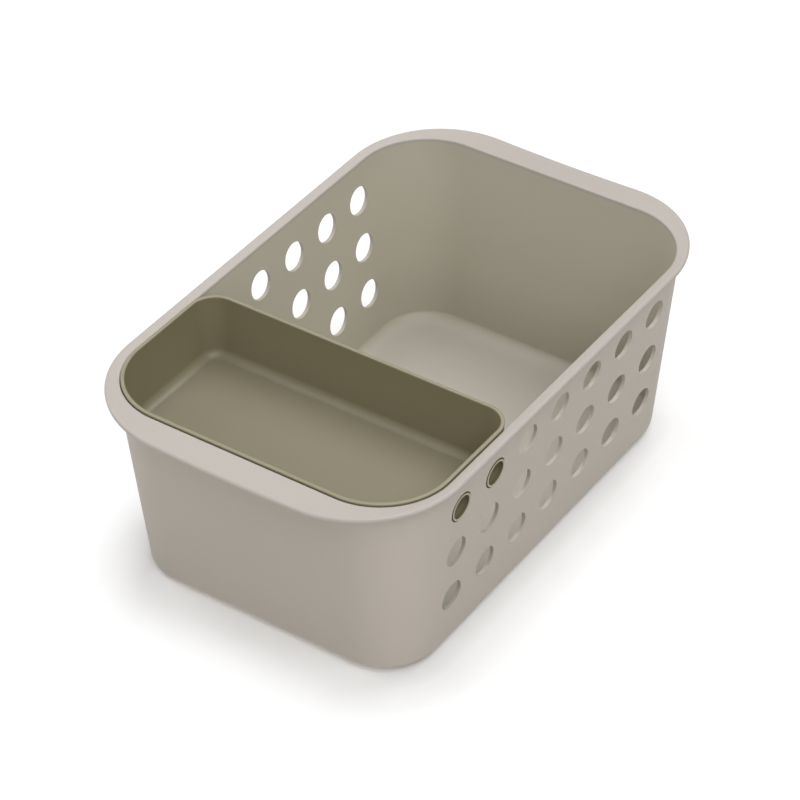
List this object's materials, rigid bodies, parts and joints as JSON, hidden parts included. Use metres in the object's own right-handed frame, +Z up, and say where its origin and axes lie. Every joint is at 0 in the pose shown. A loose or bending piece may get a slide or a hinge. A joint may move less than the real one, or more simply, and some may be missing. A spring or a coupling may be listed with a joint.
{
  "type": "bathroom storage basket",
  "caption": "Open-topped plastic storage basket with tapered, perforated side walls, rounded corners and a wide rim, with a shallow lift-out tray hung inside one end.",
  "frame": {"origin": "centre of the footprint, on the surface that the basket stands on", "axes": "+Z up, +Y along the length away from the end that holds the tray, X across the width"},
  "size_m": [0.1984, 0.3096, 0.117],
  "materials": {
    "basket_plastic": "satin moulded, warm stone grey",
    "tray_plastic": "satin moulded, olive taupe",
    "stud_plastic": "satin moulded, olive taupe"
  },
  "bodies": {
    "basket": {"basket_body": "basket_plastic"},
    "tray": {"storage_tray": "tray_plastic", "tray_stud_left_front": "stud_plastic", "tray_stud_left_rear": "stud_plastic", "tray_stud_right_front": "stud_plastic", "tray_stud_right_rear": "stud_plastic"}
  },
  "joints": [
    {"name": "tray_lift", "type": "slide", "parent": "basket", "child": "tray", "axis": [0, 0, 1], "range_m": [0, 0.08], "deforming": ["tray_stud_left_front", "tray_stud_left_rear", "tray_stud_right_front", "tray_stud_right_rear"]}
  ]
}
